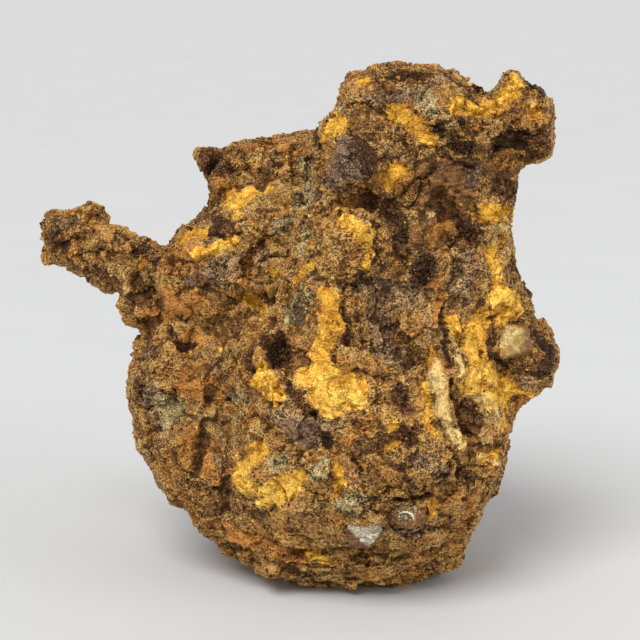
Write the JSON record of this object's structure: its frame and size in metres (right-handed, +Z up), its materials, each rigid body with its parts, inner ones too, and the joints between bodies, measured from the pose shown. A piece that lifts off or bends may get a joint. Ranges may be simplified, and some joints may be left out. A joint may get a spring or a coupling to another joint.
{
  "type": "pallasite meteorite",
  "caption": "Rusted, lumpy stony-iron stone with a side arm, a knobbed head and olivine crystals set in sockets, resting on a small flat seat.",
  "frame": {"origin": "under the middle of the stone's box, on the surface that it rests on", "axes": "+Z up, +X from the arm's side towards the knob's side, -Y out of the front that shows the ochre patches and the olivine chips"},
  "size_m": [0.095, 0.0676, 0.094],
  "materials": {
    "rusted_iron": "rough rust, from bright ochre to dark brown, with glossy black crumbs",
    "olivine": "glassy, pale yellow-green, part clear",
    "olivine_chip": "crazed white to cream cleavage faces"
  },
  "bodies": {
    "root": {"meteorite": "rusted_iron", "olivine_crystal_right": "olivine", "olivine_chip_front": "olivine_chip", "olivine_lens_front": "olivine"}
  },
  "joints": []
}
